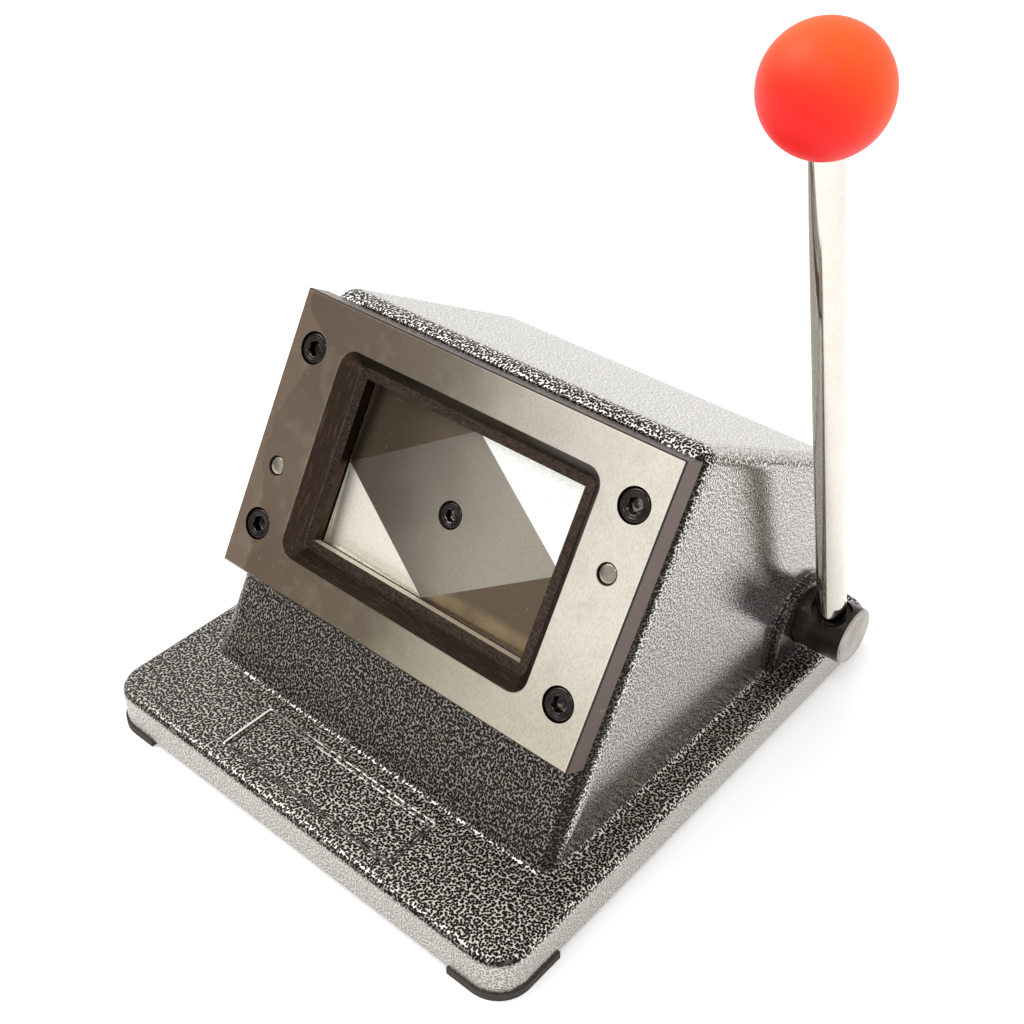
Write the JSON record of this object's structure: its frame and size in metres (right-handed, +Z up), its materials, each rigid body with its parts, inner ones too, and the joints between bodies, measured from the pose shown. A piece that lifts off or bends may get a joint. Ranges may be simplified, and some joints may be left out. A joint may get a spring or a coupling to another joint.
{
  "type": "bench card cutter",
  "caption": "Bench card cutter: sloping cast housing with a windowed steel die plate, a lever-driven punch behind it, and a ball-ended pull lever on a cross shaft.",
  "frame": {"origin": "under the middle of the whole outline, on the plane that the rubber feet stand on", "axes": "+Z up, +X towards the lever's side, -Y towards the operator, whom the sloping die plate faces"},
  "size_m": [0.1897, 0.2044, 0.2453],
  "materials": {
    "paint": "hammertone paint, grey with dark flecks",
    "ground_steel": "ground, with stains and a brown oxide film on its edges",
    "punch_steel": "ground and worn",
    "bright_steel": "ground",
    "black_steel": "black oxide",
    "nickel": "polished nickel plate",
    "bronze": "oiled bronze",
    "brass": "turned",
    "spring_steel": "oiled",
    "zinc_sheet": "zinc plated",
    "orange_plastic": "polished phenolic",
    "rubber": "matt black"
  },
  "bodies": {
    "base": {"body_casting": "paint", "bottom_cover": "zinc_sheet", "cover_screws": "black_steel", "die_plate": "ground_steel", "die_screws": "black_steel", "dowel_pins": "bright_steel", "stripper_plate": "punch_steel", "stripper_screws": "black_steel", "guide_bush": "bronze", "return_spring": "spring_steel", "shaft_bush_right": "bronze", "shaft_bush_left": "bronze", "shaft_end_cap": "black_steel", "foot_front_left": "rubber", "foot_front_right": "rubber", "foot_rear_left": "rubber", "foot_rear_right": "rubber"},
    "lever": {"lever_rod": "nickel", "ball_knob": "orange_plastic", "knob_insert": "brass", "cross_shaft": "black_steel", "shaft_collar_right": "black_steel", "shaft_collar_left": "black_steel", "collar_screws": "black_steel", "cam": "bright_steel", "cam_pin": "spring_steel"},
    "ram": {"punch": "punch_steel", "punch_screw": "black_steel", "punch_pins": "bright_steel", "ram": "bright_steel", "spring_seat": "black_steel", "seat_snap_ring": "spring_steel", "roller_pin": "bright_steel", "roller_clips": "spring_steel"},
    "roller": {"follower_roller": "bright_steel", "roller_bush": "bronze"}
  },
  "joints": [
    {"name": "lever_turn", "type": "hinge", "parent": "base", "child": "lever", "pos_m": [-0.0079, 0.06466, 0.03104], "axis": [1, 0, 0], "range_deg": [0, 72], "stiffness_Nm_per_rad": 0.214, "springref_deg": -57.3},
    {"name": "ram_slide", "type": "slide", "parent": "base", "child": "ram", "axis": [0, -0.866, 0.5], "range_m": [0, 0.0075], "deforming": ["return_spring"]},
    {"name": "follower_spin", "type": "hinge", "parent": "ram", "child": "roller", "pos_m": [-0.0079, 0.04195, 0.04611], "axis": [1, 0, 0], "range_deg": [-130, 0]}
  ],
  "couplings": [
    {"joint": "ram_slide", "follows": "lever_turn", "m_per_rad": 0.005968},
    {"joint": "follower_spin", "follows": "lever_turn", "ratio": -1.8}
  ]
}
